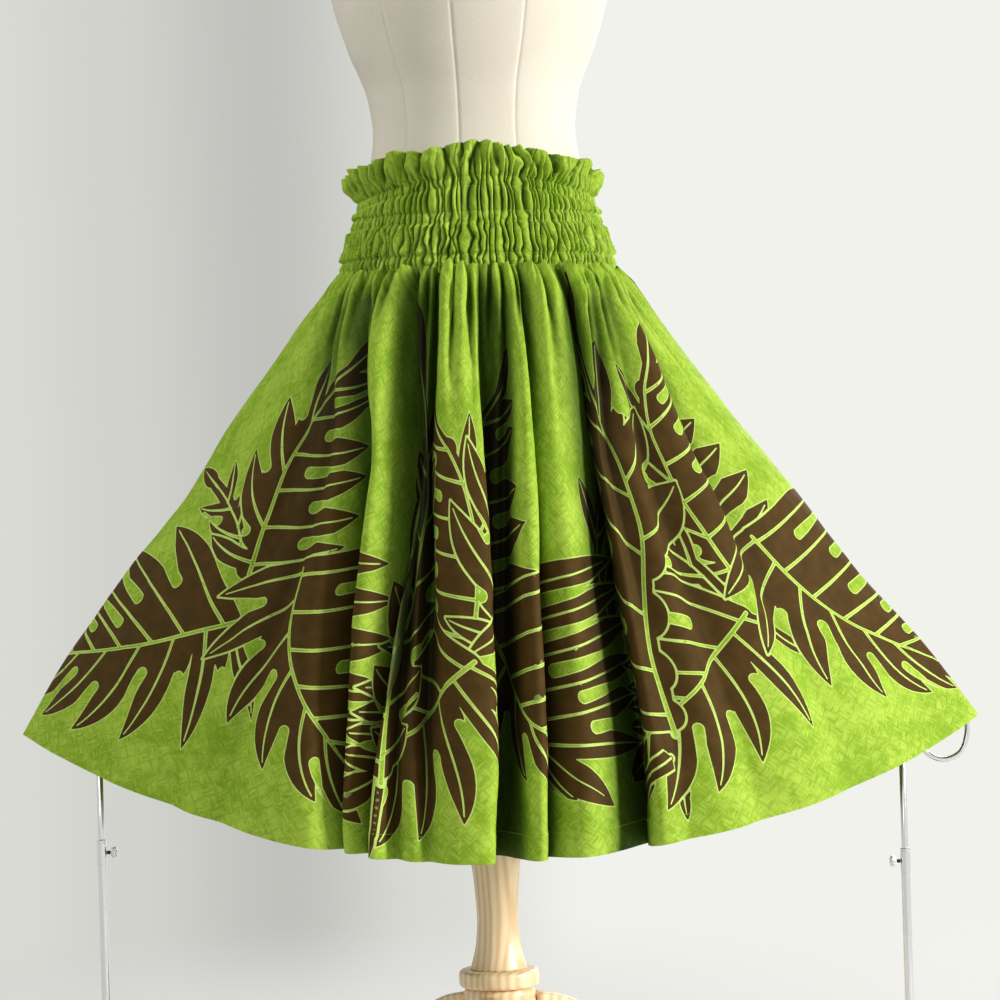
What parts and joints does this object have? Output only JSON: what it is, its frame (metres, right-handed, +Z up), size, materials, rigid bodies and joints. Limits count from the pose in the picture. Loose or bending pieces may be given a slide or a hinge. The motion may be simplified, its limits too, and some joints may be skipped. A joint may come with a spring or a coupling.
{
  "type": "gathered pau skirt on a dress form with two hem stands",
  "caption": "Full gathered hula skirt with an elasticated shirred waist, worn by a limbless dress form on a wooden tripod, its hem corners spread by slim hook stands.",
  "frame": {"origin": "on the floor, under the upright axis of the dress form", "axes": "+Z up along the form's axis; the skirt's front faces -Y; +X is the skirt's right-hand side as a viewer in front sees it"},
  "size_m": [1.061, 0.5054, 1.5263],
  "materials": {
    "cotton": "printed plain-weave cotton, matt",
    "linen": "natural linen stretched over the form, matt",
    "wood": "clear-lacquered pale pine, satin",
    "chrome": "polished chrome plate",
    "clear_plastic": "milky clear plastic, glossy"
  },
  "bodies": {
    "root": {"skirt_front": "cotton", "skirt_back": "cotton", "elastic_channel_3": "cotton", "waist_puff_2": "cotton", "elastic_channel_2": "cotton", "waist_puff_1": "cotton", "elastic_channel_1": "cotton", "ruffle_header": "cotton", "form_torso": "linen", "neck_cap": "wood", "stand_post": "wood", "post_collar": "wood", "tripod_hub": "wood", "tripod_leg_1": "wood", "tripod_leg_2": "wood", "tripod_leg_3": "wood", "right_stand_base": "chrome", "right_stand_sleeve": "chrome", "right_stand_rod": "chrome", "right_stand_hook": "chrome", "left_stand_base": "chrome", "left_stand_sleeve": "chrome", "left_stand_rod": "chrome", "left_stand_hook": "chrome", "right_stand_knob": "clear_plastic", "left_stand_knob": "clear_plastic"}
  },
  "joints": []
}
